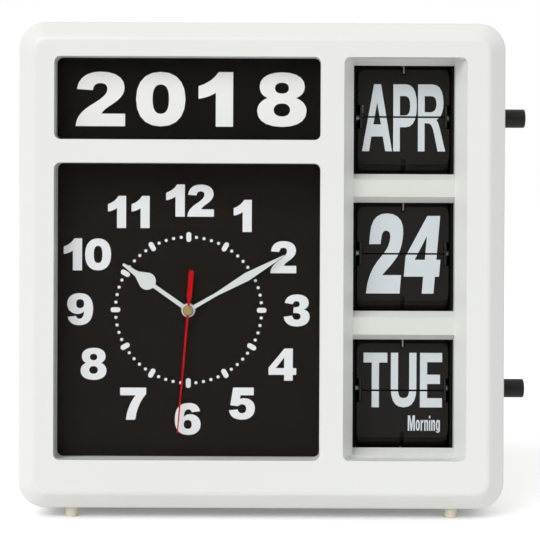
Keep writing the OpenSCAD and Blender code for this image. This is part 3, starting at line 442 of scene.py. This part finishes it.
def ink(name, shapes, smooth=5):
    """Makes flat loops into one closed sheet of ink, in mm, its back on z = 0."""
    curve = bpy.data.curves.new(name, "CURVE")
    curve.dimensions = "2D"
    curve.fill_mode = "BOTH"
    curve.extrude = INK_MM / 2
    curve.resolution_u = smooth
    for loop in shapes:
        spline = curve.splines.new("BEZIER")
        spline.bezier_points.add(len(loop) - 1)
        spline.use_cyclic_u = True
        for at, (knot, before, after) in zip(spline.bezier_points, loop):
            at.co = knot
            at.handle_left_type = "VECTOR" if before == knot else "FREE"
            at.handle_right_type = "VECTOR" if after == knot else "FREE"
            if before != knot:
                at.handle_left = before
            if after != knot:
                at.handle_right = after
    piece = bpy.data.objects.new(name, curve)
    bpy.context.scene.collection.objects.link(piece)
    bpy.ops.object.select_all(action="DESELECT")
    bpy.context.view_layer.objects.active = piece
    piece.select_set(True)
    bpy.ops.object.convert(target="MESH")
    piece = bpy.context.object
    piece.data.transform(Matrix.Translation((0, 0, INK_MM / 2)))
    bpy.ops.object.mode_set(mode="EDIT")
    bpy.ops.mesh.select_all(action="SELECT")
    bpy.ops.mesh.remove_doubles(threshold=0.001)
    bpy.ops.mesh.normals_make_consistent(inside=False)
    bpy.ops.object.mode_set(mode="OBJECT")
    return piece


def cut_half(piece, upper):
    """Keeps the upper or the lower half of a sheet of ink, clear of the split at y = 0."""
    edge = SPLIT_MM if upper else -SPLIT_MM
    bpy.ops.object.mode_set(mode="EDIT")
    bpy.ops.mesh.select_all(action="SELECT")
    bpy.ops.mesh.bisect(plane_co=(0, edge, 0), plane_no=(0, 1, 0), use_fill=True, clear_inner=upper,
                        clear_outer=not upper)
    bpy.ops.object.mode_set(mode="OBJECT")
    return piece


def stand(piece, origin, across, up, material, body):
    """Puts a flat piece in mm on a surface in the row's frame, and lets it move with a body."""
    out = across.cross(up)
    place = Matrix.Translation(origin) @ Matrix((across, up, out)).transposed().to_4x4()
    piece.data.transform(place @ Matrix.Scale(MM, 4))
    piece.data.update()
    piece.data.materials.append(material)
    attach(piece, body)
    return piece


RIGHT, UP = Vector((1, 0, 0)), Vector((0, 0, 1))
ELLIPSE = """M 50 100 C 77.6 100 100 77.6 100 50 C 100 22.4 77.6 0 50 0 C 22.4 0 0 22.4 0 50
             C 0 77.6 22.4 100 50 100 Z"""
STADIUM = """M 0 75 C 0 88.8 22.4 100 50 100 C 77.6 100 100 88.8 100 75 L 100 25 C 100 11.2 77.6 0 50 0
             C 22.4 0 0 11.2 0 25 Z"""

# Hours of the dial: the middle of each from the hub, its width, and the gap between its two figures.
HOUR_H = 21.3
HOURS = {"1": (35.6, 62.5, 12, 0), "2": (62.6, 35.3, 17.2, 0), "3": (71.6, 0, 17.2, 0),
         "4": (62.3, -35.9, 18.4, 0), "5": (35.6, -61.9, 17.2, 0), "6": (-0.3, -72.2, 17.2, 0),
         "7": (-36.5, -62.2, 17.2, 0), "8": (-62.8, -35.9, 17.2, 0), "9": (-71.8, 0.3, 17.2, 0),
         "10": (-67.1, 36.6, 31.4, 2), "11": (-39.8, 64.8, 27.6, 3.6), "12": (0.7, 72.5, 31.6, 1.7)}
on_dial = Vector((hub.x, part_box("dial_plate")[0].y, hub.z))
figures = []
for hour, (x, z, width, gap) in HOURS.items():
    figures += word(hour, x - width / 2, z - HOUR_H / 2, width, HOUR_H, gap)
stand(ink("dial_figures", figures), on_dial, RIGHT, UP, ink_dial, "case")

# The minute ring: an oblong at each hour and a dot at each minute between.
RING_R, MARK_W, MARK_L, DOT_D = 48.4, 3.3, 6.5, 2.1
marks = []
for minute in range(60):
    turn = Matrix.Rotation(math.radians(-6 * minute), 4, "Z")
    w, h = (DOT_D, DOT_D) if minute % 5 else (MARK_W, MARK_L)
    shape = fit_to(ELLIPSE if minute % 5 else STADIUM, -w / 2, RING_R - h / 2, w, h)
    marks += [[[turn @ p for p in knot] for knot in loop] for loop in shape]
stand(ink("minute_ring", marks, 4), on_dial, RIGHT, UP, ink_dial, "case")

# The year's figures on their card: the left edge of each from the card's middle, and its width.
YEAR_H = 36
YEAR = {"2": (-74.8, 32.6), "0": (-35.0, 32.6), "1": (6.2, 22.8), "8": (44.9, 32.6)}
low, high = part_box("year_card")
on_card = Vector(((low.x + high.x) / 2, low.y, (low.z + high.z) / 2))
figures = []
for figure, (left, width) in YEAR.items():
    figures += word(figure, left, -YEAR_H / 2, width, YEAR_H, 0)
stand(ink("year_figures", figures), on_card, RIGHT, UP, ink_year, "case")

# What is farther than this from its pin belongs to a leaf's tip.
TIP_FROM_PIN_MM = 25


def leaf_face(body):
    """A leaf's pin, the way from it to the tip, the front's normal, and the front and back along that."""
    mesh = nodes[body].data
    front = max((f for f in mesh.polygons if f.normal.y < 0), key=lambda f: f.area).normal.copy()
    front.x = 0
    front.normalize()
    way = front.cross(RIGHT)
    pin = pin_of[body].copy()
    tip = [v.co - pin for v in mesh.vertices if (v.co - pin).length > TIP_FROM_PIN_MM * MM]
    if sum(p.dot(way) for p in tip) < 0:
        way = -way
    heights = [p.dot(front) for p in tip]
    return pin, way, front, max(heights), min(heights)


def leaf_print(name, body, shapes, upper, material, back=False):
    """Prints the upper or the lower half of a word on a leaf's front, or on its back for the next word."""
    reel = body.split("_")[0]
    pin, way, front, front_at, back_at = leaf_face(body)
    split = pin_of[reel + "_top_leaf"].z - pin_of[reel + "_reel"].z
    up = way if upper else -way
    origin = pin + front * (back_at if back else front_at) - way * split
    return stand(cut_half(ink(name, shapes), upper), origin, RIGHT, up, material, body)


# Each word is printed in halves: the upper on the upright leaf, the lower on the hanging one.
# The next word waits on the leaf behind, and its lower half on the back of the leaf that falls.
# Each place is the left and bottom from the middle of the split, the width, the height and the gap.
MONTH_PLACE = (-27.6, -22.8, 55.4, 44.6, 0.8)
DATE_PLACE, DATE_SLANT = (-25.3, -26.5, 48.4, 53.4, 1.9), 0.083
DAY_PLACE = (-26.0, -11.3, 52.4, 36.4, 2.4)
MORNING_PLACE = (3.7, -26.9, 21.4, 10.2, 0.55)
NOON_PLACE = (9.6, -26.9, 15.5, 10.2, 0.7)
FLAPS = {
    "month": (word("APR", *MONTH_PLACE), word("MAY", *MONTH_PLACE)),
    "date": (word(("2 narrow", "4 narrow"), *DATE_PLACE, DATE_SLANT),
             word(("2 narrow", "5 narrow"), *DATE_PLACE, DATE_SLANT)),
    "weekday": (word("TUE", *DAY_PLACE) + word("Morning", *MORNING_PLACE),
                word("TUE", *DAY_PLACE) + word("Noon", *NOON_PLACE)),
}
for reel, (now, after) in FLAPS.items():
    leaf_print(reel + "_now_upper", reel + "_top_leaf", now, True, ink_flap)
    leaf_print(reel + "_now_lower", reel + "_bottom_leaf", now, False, ink_flap)
    leaf_print(reel + "_next_upper", reel + "_next_leaf", after, True, ink_flap)
    leaf_print(reel + "_next_lower", reel + "_top_leaf", after, False, ink_flap, back=True)

# Screws and setting wheel of the back


def choose(piece, kind, picked):
    """Opens a mesh for editing with only those vertices, edges or polygons selected that a test picks."""
    bpy.ops.object.mode_set(mode="OBJECT")
    bpy.context.tool_settings.mesh_select_mode = [kind == k for k in ("vertices", "edges", "polygons")]
    for group in (piece.data.vertices, piece.data.edges, piece.data.polygons):
        group.foreach_set("select", [False] * len(group))
    for item in getattr(piece.data, kind):
        item.select = picked(item)
    bpy.ops.object.mode_set(mode="EDIT")


def leave_editing():
    """Goes back to object mode, with nothing selected."""
    if bpy.context.object:
        bpy.ops.object.mode_set(mode="OBJECT")
    bpy.ops.object.select_all(action="DESELECT")


def cylinder(radius, top, bottom, sides):
    """A closed cylinder on the Z axis, in mm."""
    leave_editing()
    bpy.ops.mesh.primitive_cylinder_add(vertices=sides, radius=radius, depth=top - bottom,
                                        location=(0, 0, (top + bottom) / 2))
    bpy.ops.object.transform_apply(location=True)
    return bpy.context.object


def joined(pieces, name):
    """Joins pieces into the first of them."""
    leave_editing()
    for piece in pieces:
        piece.select_set(True)
    bpy.context.view_layer.objects.active = pieces[0]
    bpy.ops.object.join()
    pieces[0].name = pieces[0].data.name = name
    return pieces[0]


def backwards(piece, at, turn=0.0):
    """Takes a piece in mm off the Z axis and sets it on a point of the back, its top to the rear."""
    piece.data.transform(Matrix.Translation(at) @ Matrix.Rotation(math.radians(-90), 4, "X")
                         @ Matrix.Rotation(math.radians(turn), 4, "Z") @ Matrix.Scale(MM, 4))
    return piece


def round_end(piece, facing, radius, steps):
    """Rounds the edge of the end that faces up (1) or down (-1)."""
    choose(piece, "polygons", lambda f: f.normal.z * facing > 0.9)
    bpy.ops.mesh.bevel(offset=radius, segments=steps, affect="EDGES")
    bpy.ops.object.mode_set(mode="OBJECT")


# A pan-head screw for plastic. BLADE is the length, width and twice the depth of one of the two bars
# that cut its cross recess, and BLADE_FOOT what is left of that at the bottom.
HEAD_R, HEAD_H, HEAD_ROUND = 3.3, 1.4, 0.75
SHANK_R, SHANK_L, SHANK_ROUND = 1.25, 12.4, 0.8
BLADE, BLADE_FOOT = (3.9, 0.95, 1.8), 0.55
# Each screw stands this much further round than the one before.
SCREW_TURN_DEG = 37


def cover_screw():
    """One screw, its head's top on z = 0, with a rounded rim and a cross recess."""
    screw = cylinder(HEAD_R, 0, -HEAD_H, 40)
    round_end(screw, 1, HEAD_ROUND, 4)
    for turn in (0, 90):
        bpy.ops.mesh.primitive_cube_add(size=1)
        blade = bpy.context.object
        blade.data.transform(Matrix.Rotation(math.radians(turn), 4, "Z") @ Matrix.Diagonal((*BLADE, 1)))
        choose(blade, "vertices", lambda v: v.co.z < 0)
        bpy.ops.transform.resize(value=(BLADE_FOOT, BLADE_FOOT, 1))
        bpy.ops.object.mode_set(mode="OBJECT")
        bpy.context.view_layer.objects.active = screw
        cut = screw.modifiers.new("recess", "BOOLEAN")
        cut.object, cut.operation, cut.solver = blade, "DIFFERENCE", "EXACT"
        bpy.ops.object.modifier_apply(modifier=cut.name)
        bpy.data.objects.remove(blade)
    shank = cylinder(SHANK_R, -HEAD_H, -HEAD_H - SHANK_L, 20)
    round_end(shank, -1, SHANK_ROUND, 2)
    return joined([screw, shank], "cover_screw")


def cover_screws():
    """The screws at the corners of the cover and at the middle of its upper and lower edge."""
    low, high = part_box("rear_cover_screws")
    rim = HEAD_R * MM
    first = cover_screw()
    screws = []
    for x in (low.x + rim, (low.x + high.x) / 2, high.x - rim):
        for z in (low.z + rim, high.z - rim):
            made = first.copy()
            made.data = first.data.copy()
            bpy.context.scene.collection.objects.link(made)
            screws.append(backwards(made, (x, high.y, z), SCREW_TURN_DEG * len(screws)))
    bpy.data.objects.remove(first)
    return joined(screws, "cross_recess_cover_screws")


# The setting wheel. POCKET is the rim left round a grip pocket and the pocket's depth. DISH lists the
# steps of the face from its rim inwards, each a width and a rise.
WHEEL_R, WHEEL_H, SHAFT_R, SHAFT_ROUND = 9, 6, 2, 0.4
POCKETS, POCKET = 24, (0.12, -0.6)
DISH = ((1.1, 0), (0.5, -1.0), (4.4, 0), (0.5, 0.8))


def setting_wheel():
    """The wheel and its shaft: grip pockets round the rim, and a dished face with a raised middle."""
    low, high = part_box("time_set_knob")
    wheel = cylinder(WHEEL_R, 0, -WHEEL_H, 3 * POCKETS)
    choose(wheel, "polygons", lambda f: abs(f.normal.z) < 0.1 and f.index % 3 == 0)
    bpy.ops.mesh.inset(thickness=POCKET[0], depth=POCKET[1], use_individual=True)
    choose(wheel, "polygons", lambda f: f.normal.z > 0.9 and f.area > math.pi * (WHEEL_R / 2) ** 2)
    for width, rise in DISH:
        bpy.ops.mesh.inset(thickness=width, depth=rise)
    shaft = cylinder(SHAFT_R, -WHEEL_H, -(high.y - low.y) / MM, 32)
    round_end(shaft, -1, SHAFT_ROUND, 2)
    wheel = joined([wheel, shaft], "gripped_time_set_wheel")
    return backwards(wheel, ((low.x + high.x) / 2, high.y, (low.z + high.z) / 2))


screws = cover_screws()
screws.data.materials.append(steel_zinc)
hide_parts("rear_cover_screws")
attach(screws, "case")

wheel = setting_wheel()
wheel.data.materials.append(knob_abs)
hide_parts("time_set_knob")
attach(wheel, "time_set_knob")
